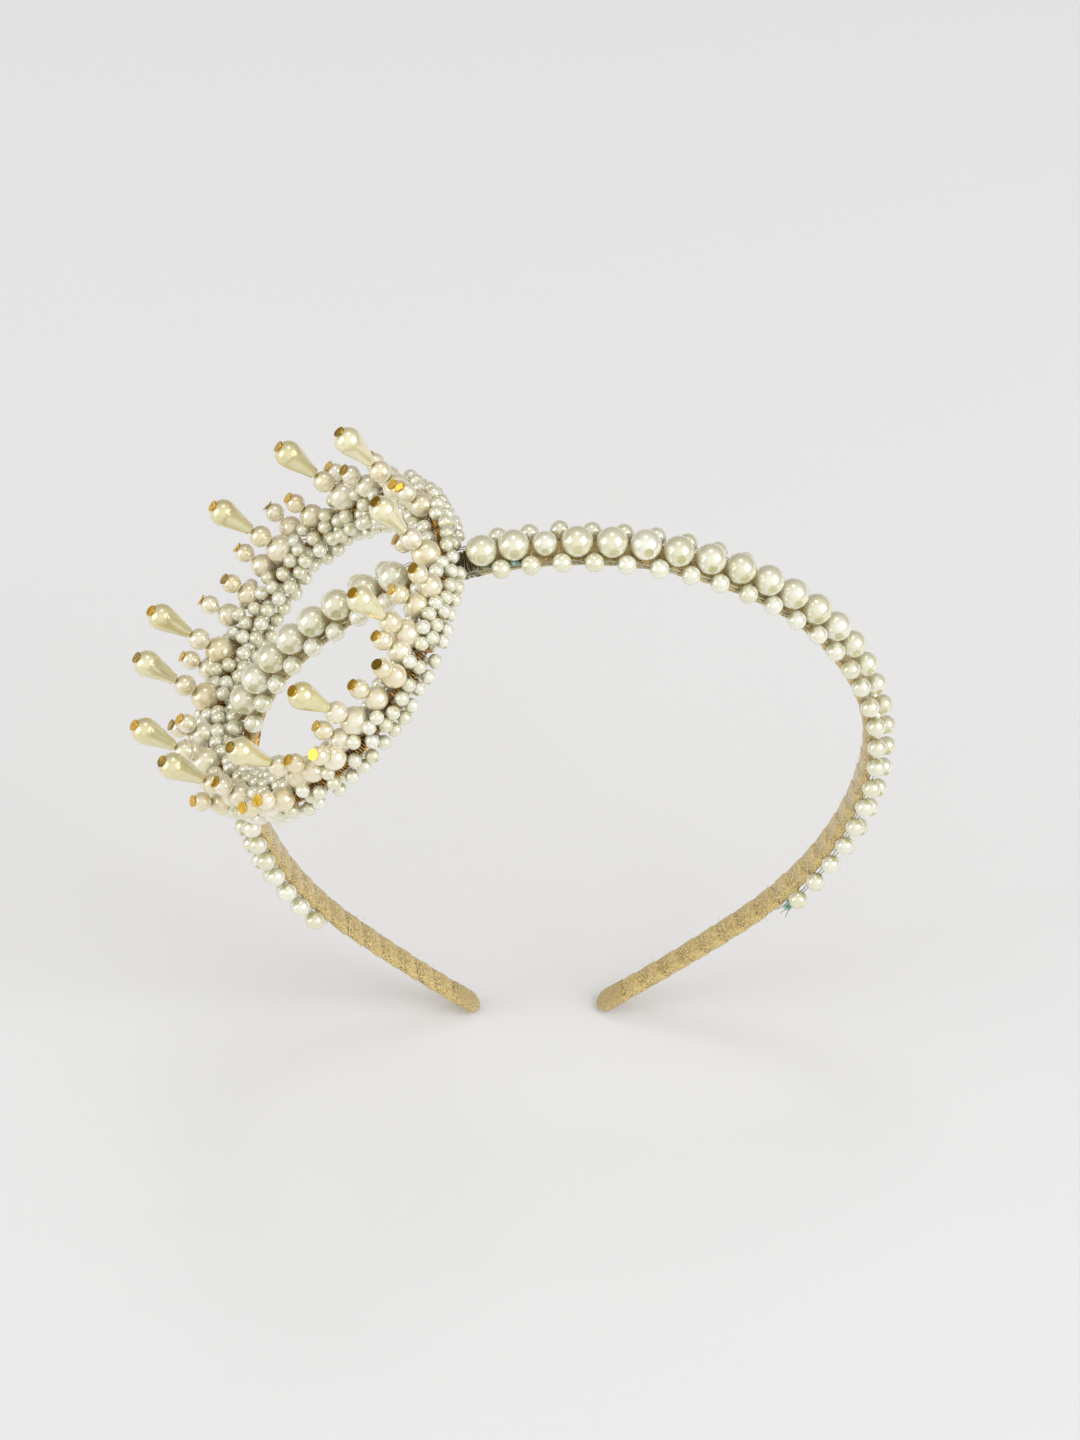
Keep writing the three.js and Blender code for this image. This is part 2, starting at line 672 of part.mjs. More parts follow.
function shortSpike() {
  const foot = -SHORT_LARGE_PEARL / 2;
  return turned([
    [0, foot],
    ...pearlOutline(0, SHORT_LARGE_PEARL),
    ...pearlOutline(shortUpper, SHORT_SMALL_PEARL),
    [PIN_RADIUS * 2, shortTop],
    [PIN_HEAD_RADIUS, shortTop],
    [PIN_HEAD_RADIUS, shortTop + PIN_HEAD_THICKNESS],
    [0, shortTop + PIN_HEAD_THICKNESS],
  ]);
}

// Wire from one seat to the next, which holds a group of short spikes together.
function seatWire(from, to) {
  const run = to.clone().sub(from);
  return loft([from, to].map((at) => strandRing(at, run, PIN_RADIUS * 2, 4)));
}

const sorted = [...TEARDROP_ANGLES].sort((a, b) => a - b);
let cluster = 0;
sorted.forEach((angle, i) => {
  const next = i + 1 < sorted.length ? sorted[i + 1] : sorted[0] + 360;
  const gap = next - angle;
  if (gap < SHORT_SPIKE_MINIMUM_GAP) return;
  const count = Math.round(gap / SHORT_SPIKE_SPACING);
  const pieces = [];
  let previous = null;
  for (let k = 0; k < count; k++) {
    const outward = k % 2 === 0 ? SHORT_SEAT_OUTER : SHORT_SEAT_INNER;
    const holder = new THREE.Object3D();
    placeSpike(holder, angle + (gap * (k + 1)) / (count + 1), outward, SHORT_SEAT_HEIGHT, degrees(SHORT_LEAN));
    holder.updateMatrix();
    pieces.push(shortSpike().applyMatrix4(holder.matrix));
    if (previous) pieces.push(seatWire(previous, holder.position));
    previous = holder.position;
  }
  cluster += 1;
  addMesh(crown, `short_spikes_${String(cluster).padStart(2, '0')}`, joined(pieces), 'rosePearl');
});

object.updateMatrixWorld(true);

export default object;
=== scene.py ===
"""A pearl hair band with a small round crown of spikes tied on beside its top."""
import math
import random

import bpy
from mathutils import Matrix, Quaternion, Vector, noise


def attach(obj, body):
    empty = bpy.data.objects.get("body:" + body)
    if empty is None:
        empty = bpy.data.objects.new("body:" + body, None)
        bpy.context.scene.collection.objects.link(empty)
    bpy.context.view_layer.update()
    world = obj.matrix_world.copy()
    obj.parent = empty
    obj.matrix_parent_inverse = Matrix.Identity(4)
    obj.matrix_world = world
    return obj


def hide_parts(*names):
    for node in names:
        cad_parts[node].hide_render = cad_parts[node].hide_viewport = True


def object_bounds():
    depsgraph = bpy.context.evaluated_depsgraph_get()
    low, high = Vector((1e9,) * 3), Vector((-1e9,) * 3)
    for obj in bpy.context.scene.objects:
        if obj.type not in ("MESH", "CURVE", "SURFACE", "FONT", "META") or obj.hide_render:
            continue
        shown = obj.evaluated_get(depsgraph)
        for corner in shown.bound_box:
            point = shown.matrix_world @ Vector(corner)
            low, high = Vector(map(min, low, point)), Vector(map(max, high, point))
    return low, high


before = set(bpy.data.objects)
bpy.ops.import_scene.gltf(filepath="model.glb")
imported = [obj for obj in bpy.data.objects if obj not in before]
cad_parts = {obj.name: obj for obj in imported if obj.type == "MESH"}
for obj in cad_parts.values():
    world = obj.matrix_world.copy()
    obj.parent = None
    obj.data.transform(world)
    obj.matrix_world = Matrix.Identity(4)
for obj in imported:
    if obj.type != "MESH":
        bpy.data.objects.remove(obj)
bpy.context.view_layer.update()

MM = 0.001
UP = Vector((0, 0, 1))
BACK = Vector((0, 1, 0))
chance = random.Random(7)

# ---- Sizes of the hair band, in millimetres ----

BAND_ARCS = [(63.1, 94), (87, 38), (430, 5.3)]  # radius and sweep in degrees, from the top down
RIBBON_WIDTH = 5.4
RIBBON_THICKNESS = 2
TIP_COVER = 7
SPAN_LENGTH = 7
WRAP_PITCH = 5.6
LINE_STEP = 0.5  # between the points that stand for the band's line
CROWN_SEAT = 25.4
CROWN_RADIUS = 34.5
CROWN_TILT = 4.2
WINDING_RADIUS = 1.3
UPPER_STANDOFF = 0.5
LOWER_STANDOFF = 4.2
LARGE, SMALLER, EDGE, SEED = 6.3, 5, 4, 3
LOOSE_PITCH = LARGE + 0.1
TIGHT_PITCH = LARGE - 0.36
SIDE_PITCH = EDGE + 1.6
EDGE_ACROSS = 4.1
EDGE_HEIGHT = 1.5
MIDDLE_ACROSS = -1.0
MIDDLE_HEIGHT = 1.1  # from the band's centre line to the foot of a large pearl
ROW_START_LEFT, ROW_END_LEFT = 103, 154
ROW_START_INSIDE, ROW_END_INSIDE = 35.5, 86
ROW_END_RIGHT = 147
REAR_END = 100
SEED_REACH = 3.05  # from the hoop's wire to a seed pearl's centre
SEED_PITCH = 3.25
LOOP_ROOM = 9  # width of the band with its edge pearls
SECTOR = 12  # degrees
SPIKE_SEAT = 4.7
SHORT_SEAT = 4.4
SPIKE_LARGE, SPIKE_MEDIUM = 6, 4.5
SHORT_LARGE, SHORT_SMALL = 5, 4
TEARDROP_LENGTH, TEARDROP_WIDTH, TEARDROP_NARROW = 10, 5.6, 2.2
PIN_HEAD = 1.22
PIN_HEAD_THICKNESS = 0.4
PIN_DISC = 0.26
FIT_GAP = 0.3
TEARDROP_ANGLES = [223, 256, 289, 330, 348, 19, 49, 86, 114, 147, 178]

ROOT = "headband"


# ---- Where things sit on the band ----

def band_place(distance):
    """Point on the band's centre line and its outward normal, in millimetres from the top."""
    side = -1 if distance < 0 else 1
    left, heading, x, z = abs(distance), 0.0, 0.0, TOP_HEIGHT
    for i, (radius, sweep) in enumerate(BAND_ARCS):
        length = radius * math.radians(sweep)
        step = left if i == len(BAND_ARCS) - 1 else min(left, length)
        turn = step / radius
        x += radius * (math.sin(heading + turn) - math.sin(heading))
        z += radius * (math.cos(heading + turn) - math.cos(heading))
        heading += turn
        left -= step
        if left <= 0:
            break
    return Vector((side * x, 0, z)), Vector((side * math.sin(heading), 0, math.cos(heading)))


HALF_LENGTH = sum(radius * math.radians(sweep) for radius, sweep in BAND_ARCS)
RIBBON_END = HALF_LENGTH - TIP_COVER
# The CAD band is made of flat spans, and its top one lies on the origin.
BAND_SPANS = 2 * round(RIBBON_END / SPAN_LENGTH) + 1
TOP_SPAN = (RIBBON_END - FIT_GAP) / BAND_SPANS / BAND_ARCS[0][0]
HALF_THICKNESS = RIBBON_THICKNESS / 2
TOP_HEIGHT = (HALF_THICKNESS
              + (BAND_ARCS[0][0] - HALF_THICKNESS) * (1 - math.cos(TOP_SPAN)))


def beside_band(distance, across, height):
    """Point beside the band's centre line: across to the back, height away from the head."""
    point, normal = band_place(distance)
    return point + normal * height + BACK * across


LINE_STEPS = int(HALF_LENGTH / LINE_STEP)
BAND_LINE = [band_place(i * LINE_STEP)[0] for i in range(-LINE_STEPS, LINE_STEPS + 1)]


def away_from_band(point, width):
    """Gap between a point and a flat strip of that width along the band."""
    nearest = min(math.hypot(point.x - at.x, point.z - at.z) for at in BAND_LINE)
    sideways = max(abs(point.y) - (width - RIBBON_THICKNESS) / 2, 0)
    return math.hypot(nearest, sideways) - RIBBON_THICKNESS / 2


# ---- Where things sit on the crown ----

def crown_seat():
    """The hoop's centre and its three directions: to its lower crossing, to the front and up."""
    lift = RIBBON_THICKNESS / 2 + WINDING_RADIUS
    upper = beside_band(-CROWN_SEAT, 0, lift + UPPER_STANDOFF)
    near, far = CROWN_SEAT, HALF_LENGTH
    for _ in range(60):
        middle = (near + far) / 2
        lower = beside_band(-middle, 0, lift + LOWER_STANDOFF)
        if (lower - upper).length > 2 * CROWN_RADIUS:
            far = middle
        else:
            near = middle
    lower = beside_band(-near, 0, lift + LOWER_STANDOFF)
    to_lower = (lower - upper).normalized()
    tilt = math.radians(CROWN_TILT)
    axis = Vector((to_lower.z, 0, -to_lower.x)) * math.cos(tilt) + BACK * math.sin(tilt)
    return (upper + lower) / 2, to_lower, axis.cross(to_lower), axis, near


HOOP_CENTRE, TO_LOWER, TO_FRONT, HOOP_AXIS, LOWER_SEAT = crown_seat()


def on_crown(angle, outward, height):
    """Point by the hoop: angle round it, distance out from its wire, height above it."""
    turn = math.radians(angle)
    reach = CROWN_RADIUS + outward
    away = TO_LOWER * math.cos(turn) + TO_FRONT * math.sin(turn)
    return HOOP_CENTRE + away * reach + HOOP_AXIS * height


def spike_direction(angle, lean):
    """Direction of a spike that leans out from the hoop's axis."""
    turn = math.radians(angle)
    away = TO_LOWER * math.cos(turn) + TO_FRONT * math.sin(turn)
    return (away * math.sin(lean) + HOOP_AXIS * math.cos(lean)).normalized()


def away_from_hoop(point):
    """Gap between a point and the centre of the hoop's wire."""
    offset = point - HOOP_CENTRE
    height = offset.dot(HOOP_AXIS)
    flat = (offset - HOOP_AXIS * height).length
    return math.hypot(flat - CROWN_RADIUS, height)


ROOM_TAKEN = {}  # beads about the hoop as (centre, radius), by sector
HALF_TURN = 180 // SECTOR


def sector(point):
    """Number of the sector round the hoop that a point is in."""
    offset = point - HOOP_CENTRE
    return int(math.degrees(math.atan2(offset.dot(TO_FRONT), offset.dot(TO_LOWER))) // SECTOR)


def take_room(point, radius):
    ROOM_TAKEN.setdefault(sector(point), []).append((point, radius))


def has_room(point, radius, close):
    """Whether a bead fits there. Close is how near it may come to its neighbours, as a share
    of the distance at which they touch."""
    if away_from_band(point, RIBBON_WIDTH) < radius:
        return False
    here = sector(point)
    beside = [(here + step + HALF_TURN) % (2 * HALF_TURN) - HALF_TURN for step in (-1, 0, 1)]
    near = [bead for number in beside for bead in ROOM_TAKEN.get(number, [])]
    return all((point - centre).length > (radius + other) * close for centre, other in near)


# ---- Materials ----

def colour(code):
    """An sRGB hex value as linear RGBA."""
    parts = [int(code[i:i + 2], 16) / 255 for i in (1, 3, 5)]
    return [c / 12.92 if c <= 0.04045 else ((c + 0.055) / 1.055) ** 2.4 for c in parts] + [1]


class Finish:
    """A material and its shader, ready for pattern nodes."""

    def __init__(self, name, **settings):
        self.material = bpy.data.materials.new(name)
        self.material.use_nodes = True
        self.tree = self.material.node_tree
        self.shader = self.tree.nodes["Principled BSDF"]
        for socket, value in settings.items():
            self.shader.inputs[socket.replace("_", " ")].default_value = value

    def node(self, kind, links=(), **settings):
        """Adds one node. Settings are its properties or inputs; links are (input, from socket)."""
        made = self.tree.nodes.new("ShaderNode" + kind)
        for key, value in settings.items():
            if hasattr(made, key):
                setattr(made, key, value)
            else:
                made.inputs[key.replace("_", " ")].default_value = value
        for socket, source in links:
            self.tree.links.new(source, made.inputs[socket])
        return made

    def ramp(self, source, *stops):
        made = self.node("ValToRGB", [(0, source)])
        elements = made.color_ramp.elements
        while len(elements) < len(stops):
            elements.new(0.5)
        for element, (place, code) in zip(elements, stops):
            element.position, element.color = place, colour(code)
        return made.outputs[0]

    def mix(self, factor, first, second, blend="MIX"):
        made = self.node("Mix", data_type="RGBA", blend_type=blend)
        for index, value in ((0, factor), (6, first), (7, second)):
            if isinstance(value, (int, float)):
                made.inputs[index].default_value = value
            elif isinstance(value, str):
                made.inputs[index].default_value = colour(value)
            else:
                self.tree.links.new(value, made.inputs[index])
        return made.outputs[2]

    def into(self, socket, source):
        self.tree.links.new(source, self.shader.inputs[socket])

    def bump(self, height, strength, distance, below=None):
        made = self.node("Bump", [("Height", height)], Strength=strength, Distance=distance)
        if below is not None:
            self.tree.links.new(below, made.inputs["Normal"])
        return made.outputs[0]


def pearl_coat(name, light, shade, **settings):
    """Imitation pearl: a moulded bead dipped in pearl essence and clear lacquer.
    The flakes give a broad satin glow under a clear gloss, and no two dips match."""
    finish = Finish(name, **settings)
    place = finish.node("TexCoord").outputs["Object"]
    tone = finish.node("Attribute", attribute_name="tone").outputs["Fac"]
    cloud = finish.node("TexNoise", [("Vector", place)], Scale=350, Detail=2).outputs["Fac"]
    both = finish.node("Math", [(0, cloud), (1, tone)], operation="ADD").outputs[0]
    half = finish.node("Math", [(0, both)], operation="MULTIPLY")
    half.inputs[1].default_value = 0.5
    body = finish.ramp(half.outputs[0], (0.25, shade), (0.75, light))
    finish.into("Base Color", body)
    finish.into("Roughness", finish.ramp(cloud, (0.3, "#747474"), (0.7, "#868686")))
    waves = finish.node("TexNoise", [("Vector", place)], Scale=500, Detail=1).outputs["Fac"]
    finish.into("Normal", finish.bump(waves, 0.06, 0.0003))
    return finish.material


PEARL = dict(Metallic=0.45, Coat_Weight=1.0, Coat_Roughness=0.08, Subsurface_Weight=0.5,
             Subsurface_Radius=(1.0, 0.75, 0.4), Subsurface_Scale=0.003)
ivory_pearl = pearl_coat("ivory_pearl_dip", "#f1f0e0", "#e4e1c6", **PEARL)
rose_pearl = pearl_coat("rose_pearl_dip", "#f5eed9", "#ecdfbc", **PEARL)
cream_pearl = pearl_coat("champagne_pearl_dip", "#f1ebc8", "#e3daa8",
                         **{**PEARL, "Metallic": 0.5, "Subsurface_Weight": 0.3})


def bare_bead_plastic():
    """Bead plastic left bare round the bore, where the dip pulls away: dull and a little green."""
    finish = Finish("bare_bead_acrylic", Roughness=0.45, Subsurface_Weight=0.3,
                    Subsurface_Scale=0.0008)
    place = finish.node("TexCoord").outputs["Object"]
    cloud = finish.node("TexNoise", [("Vector", place)], Scale=700, Detail=3).outputs["Fac"]
    finish.into("Base Color", finish.ramp(cloud, (0.35, "#bdb886"), (0.65, "#d2cfa6")))
    return finish.material


def ribbon_weave():
    """Open-woven lurex ribbon: flat pale gold threads with tiny dark gaps between them, most
    of them towards the covered edge of each turn, where they deepen into painted shade under
    the next turn. The weave is drawn coarser than life."""
    finish = Finish("tarnished_lurex_ribbon", Metallic=0.2, Sheen_Weight=0.25)
    flow = finish.node("UVMap", uv_map="UVMap").outputs[0]
    slant = finish.node("Mapping", [("Vector", flow)], Scale=(900, 30, 1), Rotation=(0, 0, 0.5))
    weave = finish.node("TexVoronoi", [("Vector", slant.outputs[0])], Scale=1.0, Randomness=0.7)
    place = finish.node("TexCoord").outputs["Object"]
    cloud = finish.node("TexNoise", [("Vector", place)], Scale=300, Detail=3).outputs["Fac"]
    grain = finish.node("TexNoise", [("Vector", place)], Scale=2900, Detail=2).outputs["Fac"]
    threads = finish.ramp(weave.outputs["Distance"], (0.0, "#f8e9b6"), (0.4, "#e3cc8a"),
                          (0.8, "#c6a763"))
    aged = finish.mix(finish.ramp(cloud, (0.45, "#000000"), (0.7, "#707070")), threads, "#d2b571")
    # Painted shade: the dark gaps are faint near the rising edge of each turn and full towards its
    # covered edge, under the next turn.
    covered_edge_shade = finish.node("Attribute", attribute_name="covered_edge_shade").outputs["Fac"]
    low = finish.ramp(covered_edge_shade, (0.1, "#606060"), (0.85, "#ffffff"))
    gaps = finish.ramp(grain, (0.42, "#ffffff"), (0.50, "#000000"))
    finish.into("Base Color", finish.mix(finish.mix(1.0, gaps, low, "MULTIPLY"), aged, "#7a673a"))
    finish.into("Roughness", finish.ramp(grain, (0.3, "#909090"), (0.7, "#6a6a6a")))
    knots = finish.bump(weave.outputs["Distance"], 0.5, 0.0003)
    finish.into("Normal", finish.bump(grain, 0.4, 0.0002, knots))
    return finish.material


def worn_metal(name, bright, dull, low, high, **settings):
    """Drawn or stamped metal with dull patches of tarnish."""
    finish = Finish(name, Metallic=1.0, **settings)
    place = finish.node("TexCoord").outputs["Object"]
    tone = finish.node("Attribute", attribute_name="tone").outputs["Fac"]
    cloud = finish.node("TexNoise", [("Vector", place)], Scale=900, Detail=3).outputs["Fac"]
    patch = finish.node("Math", [(0, cloud), (1, tone)], operation="MULTIPLY").outputs[0]
    finish.into("Base Color", finish.ramp(patch, (0.15, bright), (0.6, dull)))
    finish.into("Roughness", finish.ramp(cloud, (0.3, low), (0.7, high)))
    finish.into("Normal", finish.bump(cloud, 0.15, 0.0001))
    return finish.material


bore_plastic = bare_bead_plastic()
ribbon_cloth = ribbon_weave()
pin_gold = worn_metal("gold_plated_brass_pin", "#e6bb4c", "#7a6a28", "#505050", "#787878")
hoop_gold = worn_metal("tarnished_brass_wire", "#edbb66", "#a97f3c", "#686868", "#9c9c9c")
tie_steel = worn_metal("dull_binding_wire", "#8f8a72", "#504f3f", "#606060", "#909090")
thread_silver = worn_metal("fine_silvered_wire", "#b4b6a8", "#757b6c", "#404040", "#707070")
strip_steel = worn_metal("spring_steel", "#a9aaad", "#6c6d70", "#404040", "#606060")


def verdigris():
    """Copper salt that has grown on the wire: powdery, blue-green and matt."""
    finish = Finish("verdigris_bloom", Roughness=0.9)
    place = finish.node("TexCoord").outputs["Object"]
    cloud = finish.node("TexNoise", [("Vector", place)], Scale=1600, Detail=3).outputs["Fac"]
    finish.into("Base Color", finish.ramp(cloud, (0.35, "#4f9a86"), (0.6, "#a9cdbb")))
    finish.into("Normal", finish.bump(cloud, 0.8, 0.0003))
    return finish.material


green_salt = verdigris()


# ---- Making and placing pieces ----

def only(piece):
    bpy.ops.object.select_all(action="DESELECT")
    piece.select_set(True)
    bpy.context.view_layer.objects.active = piece


def edit(piece, *steps):
    """Runs each step in edit mode on the one piece."""
    only(piece)
    bpy.ops.object.mode_set(mode="EDIT")
    for step in steps:
        step()
    bpy.ops.object.mode_set(mode="OBJECT")


def pick_faces(piece, wanted):
    """Selects the faces that answer wanted(centre, normal), and nothing else."""
    only(piece)
    bpy.ops.object.mode_set(mode="EDIT")
    bpy.ops.mesh.select_mode(type="FACE")
    bpy.ops.mesh.select_all(action="DESELECT")
    bpy.ops.object.mode_set(mode="OBJECT")
    for face in piece.data.polygons:
        face.select = wanted(face.center, face.normal)
    bpy.ops.object.mode_set(mode="EDIT")


def stamp(piece, name, value):
    """Gives every point of a piece one value under a name that its material reads."""
    values = piece.data.attributes.get(name) or piece.data.attributes.new(name, "FLOAT", "POINT")
    values.data.foreach_set("value", [value] * len(piece.data.vertices))


def copies(model, places):
    """One object for each (position in mm, direction of the model's Z, tone)."""
    made = []
    for at, direction, tone in places:
        piece = model.copy()
        piece.data = model.data.copy()
        spin = Quaternion(direction.normalized(), chance.uniform(0, 6.28))
        turn = spin.to_matrix() @ UP.rotation_difference(direction).to_matrix()
        piece.data.transform(Matrix.Translation(at * MM) @ turn.to_4x4())
        bpy.context.scene.collection.objects.link(piece)
        stamp(piece, "tone", tone)
        made.append(piece)
    return made


def join(name, pieces):
    """Makes one piece of several, under the given name."""
    bpy.ops.object.select_all(action="DESELECT")
    for piece in pieces:
        piece.select_set(True)
    bpy.context.view_layer.objects.active = pieces[0]
    if len(pieces) > 1:
        bpy.ops.object.join()
    pieces[0].name = pieces[0].data.name = name
    return pieces[0]


def done(piece, body=ROOT, stands_for=()):
    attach(piece, body)
    if stands_for:
        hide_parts(*stands_for)
    return piece


def wire(name, points, radius, material, sides=6, cyclic=False, tone=0.5):
    """A round wire through points in millimetres."""
    line = bpy.data.curves.new(name, "CURVE")
    line.dimensions = "3D"
    line.bevel_depth = radius * MM
    line.bevel_resolution = max(sides // 2 - 2, 0)
    line.use_fill_caps = not cyclic
    run = line.splines.new("POLY")
    run.points.add(len(points) - 1)
    for spot, at in zip(run.points, points):
        spot.co = (*(Vector(at) * MM), 1)
    run.use_cyclic_u = cyclic
    piece = bpy.data.objects.new(name, line)
    bpy.context.scene.collection.objects.link(piece)
    only(piece)
    bpy.ops.object.convert(target="MESH")
    piece = bpy.context.view_layer.objects.active
    piece.data.materials.clear()
    piece.data.materials.append(material)
    stamp(piece, "tone", tone)
    bpy.ops.object.shade_smooth()
    return piece


def sleeve(name, stations, sides, place, material):
    """A grid bent round into a tube: place(along, round), both from 0 to 1, gives each point."""
    bpy.ops.object.select_all(action="DESELECT")
    bpy.ops.mesh.primitive_grid_add(x_subdivisions=stations, y_subdivisions=sides, size=1)
    piece = bpy.context.active_object
    piece.name = piece.data.name = name
    # The second value from place is painted shade for the ribbon: how far each point lies towards
    # the covered edge of its turn.
    covered_edge_shade = piece.data.attributes.new("covered_edge_shade", "FLOAT", "POINT")
    for spot in piece.data.vertices:
        at, low = place(spot.co.x + 0.5, spot.co.y + 0.5)
        spot.co = at * MM
        covered_edge_shade.data[spot.index].value = low
    edit(piece,
         lambda: bpy.ops.mesh.select_all(action="SELECT"),
         lambda: bpy.ops.mesh.remove_doubles(threshold=1e-6),
         lambda: bpy.ops.mesh.fill_holes(sides=0),
         lambda: bpy.ops.mesh.select_all(action="SELECT"),
         lambda: bpy.ops.mesh.normals_make_consistent(inside=False))
    piece.data.materials.append(material)
    bpy.ops.object.shade_smooth()
    return piece


# ---- Models that repeat ----

def pearl_model(name, diameter, segments, rings, material, bore=0.32):
    """A round bead. The dip stops short of the bore, which shows as a dull sunk ring."""
    radius = diameter / 2 * MM
    bpy.ops.object.select_all(action="DESELECT")
    bpy.ops.mesh.primitive_uv_sphere_add(segments=segments, ring_count=rings, radius=radius)
    bead = bpy.context.active_object
    bead.name = bead.data.name = name
    bead.data.materials.append(material)
    bead.data.materials.append(bore_plastic)
    bpy.ops.object.shade_smooth()
    # Both poles become flat round mouths, sunk a little into the bead.
    mouth, first_ring = math.cos(bore) * radius, math.cos(math.pi / rings) * radius
    for spot in bead.data.vertices:
        way = math.copysign(1, spot.co.z)
        if abs(spot.co.z) > radius * 0.9999:
            spot.co.z = way * mouth * 0.96
        elif abs(spot.co.z) > first_ring * 0.9999:
            turn = math.atan2(spot.co.y, spot.co.x)
            spot.co = Vector((math.cos(turn) * math.sin(bore) * radius,
                              math.sin(turn) * math.sin(bore) * radius, way * mouth))
    for face in bead.data.polygons:
        if len(face.vertices) == 3:
            face.material_index = 1
    return bead


def teardrop_model():
    """A drop bead: round at its tip, widest a quarter of the way down, nearly straight below."""
    bpy.ops.object.select_all(action="DESELECT")
    bpy.ops.mesh.primitive_uv_sphere_add(segments=24, ring_count=18, radius=1)
    drop = bpy.context.active_object
    drop.name = drop.data.name = "teardrop"
    wide, narrow = TEARDROP_WIDTH / 2, TEARDROP_NARROW / 2
    for spot in drop.data.vertices:
        along = 0.5 - math.asin(max(-1, min(1, spot.co.z))) / math.pi  # 0 at the tip, 1 below
        flat = math.hypot(spot.co.x, spot.co.y)
        height = TEARDROP_LENGTH * (1 - along ** 1.12) - FIT_GAP * max(0, along - 0.6) / 0.4
        down = TEARDROP_LENGTH - height
        if down < wide:
            reach = math.sqrt(max(0, 1 - ((wide - down) / wide) ** 2)) * wide
        else:
            part = (down - wide) / (TEARDROP_LENGTH - wide)
            ease = part * part * (3 - 2 * part)
            reach = wide + (narrow - wide) * (0.62 * part + 0.38 * ease)
            if along > 0.97:
                reach *= 0.8
        scale = reach / flat if flat > 1e-6 else 0
        spot.co = Vector((spot.co.x * scale, spot.co.y * scale, height)) * MM
    drop.data.materials.append(cream_pearl)
    bpy.ops.object.shade_smooth()
    return drop


def pin_head_model():
    """A thin stamped disc with a rolled edge and a faint rim round its top."""
    bpy.ops.object.select_all(action="DESELECT")
    bpy.ops.mesh.primitive_cylinder_add(vertices=14, radius=PIN_HEAD * MM, depth=PIN_DISC * MM,
                                        location=(0, 0, PIN_DISC / 2 * MM))
    head = bpy.context.active_object
    bpy.ops.object.transform_apply(location=True)
    pick_faces(head, lambda centre, normal: normal.z > 0.9)
    bpy.ops.mesh.inset(thickness=0.3 * MM)
    bpy.ops.transform.translate(value=(0, 0, -0.04 * MM))
    bpy.ops.object.mode_set(mode="OBJECT")
    rim = head.modifiers.new("rolled_edge", "BEVEL")
    rim.width, rim.segments, rim.limit_method = 0.06 * MM, 2, "ANGLE"
    only(head)
    bpy.ops.object.modifier_apply(modifier="rolled_edge")
    bpy.ops.object.shade_smooth_by_angle(angle=math.radians(35))
    head.data.materials.append(pin_gold)
    return head


large_bead = pearl_model("large_bead", LARGE, 24, 16, ivory_pearl)
smaller_bead = pearl_model("smaller_bead", SMALLER, 20, 14, ivory_pearl)
edge_bead = pearl_model("edge_bead", EDGE, 16, 10, ivory_pearl)
seed_bead = pearl_model("seed_bead", SEED, 12, 8, ivory_pearl)
spike_large_bead = pearl_model("spike_large_bead", SPIKE_LARGE, 20, 14, rose_pearl)
spike_medium_bead = pearl_model("spike_medium_bead", SPIKE_MEDIUM, 16, 12, rose_pearl)
short_large_bead = pearl_model("short_large_bead", SHORT_LARGE, 16, 12, rose_pearl)
short_small_bead = pearl_model("short_small_bead", SHORT_SMALL, 16, 10, rose_pearl)
teardrop = teardrop_model()
pin_head = pin_head_model()
MODELS = [large_bead, smaller_bead, edge_bead, seed_bead, spike_large_bead, spike_medium_bead,
          short_large_bead, short_small_bead, teardrop, pin_head]


# ---- Ribbon round the band ----

def ribbon_point(distance, turn, width, thickness, lift=0.0):
    """Point on the round-edged outline of the band at one distance."""
    # A squared-off ellipse: flat faces and full round edges.
    c, s = math.cos(turn), math.sin(turn)
    across = math.copysign(abs(c) ** 0.55, c) * (width / 2 + lift)
    height = math.copysign(abs(s) ** 0.75, s) * (thickness / 2 + lift)
    return beside_band(distance, across, height)


def wrapped(along, around):
    """The ribbon winds round on a slant, and each turn lies over the edge of the next."""
    distance = (2 * along - 1) * (RIBBON_END + 0.2)
    turn = 2 * math.pi * around
    wound = (distance / WRAP_PITCH - around) % 1.0
    # Each turn rises steeply at its edge and then thins out along the band.
    step = min(wound / 0.08, 1) * (1 - wound) ** 0.8
    rough = noise.noise(Vector((distance * 1.1, math.cos(turn) * 2, math.sin(turn) * 2)))
    lift = -0.12 + 0.28 * step + 0.07 * rough
    # The winding is thicker where it goes over the stringing wires.
    spread = 1 - max(0, min(1, (abs(distance) - 135) / 50))
    width = RIBBON_WIDTH - 0.2 + 1.1 * spread
    # wound also goes out as painted shade: it nears 1 at the covered edge, under the next turn.
    return ribbon_point(distance, turn, width, RIBBON_THICKNESS, lift), wound


def tip_wrap(side):
    """A folded end of ribbon drawn smoothly over the tip."""
    def place(along, around):
        reach = HALF_LENGTH - RIBBON_END + 0.3
        distance = RIBBON_END - 0.3 + reach * math.sin(along * math.pi / 2) ** 0.9
        left = max(HALF_LENGTH - distance, 0)
        end = math.sqrt(max(0, 1 - max(0, 1 - left / (RIBBON_WIDTH / 2)) ** 2))
        turn = 2 * math.pi * around
        rough = noise.noise(Vector((distance, math.cos(turn) * 2, math.sin(turn) * 2 + side)))
        lift = (0.06 + 0.05 * rough) * end
        thickness = RIBBON_THICKNESS * (0.55 + 0.45 * end) * min(1, end * 4)
        # The tip covers get an even half strength of the painted shade.
        return ribbon_point(side * distance, turn, RIBBON_WIDTH * end, thickness, lift), 0.5
    return place


ribbon = sleeve("ribbon_winding", 1000, 28, wrapped, ribbon_cloth)
done(ribbon, stands_for=["ribbon_wrap"])
for side, label in ((-1, "left"), (1, "right")):
    cover = sleeve(f"ribbon_tip_{label}", 40, 28, tip_wrap(side), ribbon_cloth)
    done(cover, stands_for=[f"tip_cover_{label}"])


# ---- Pearl rows along the band ----

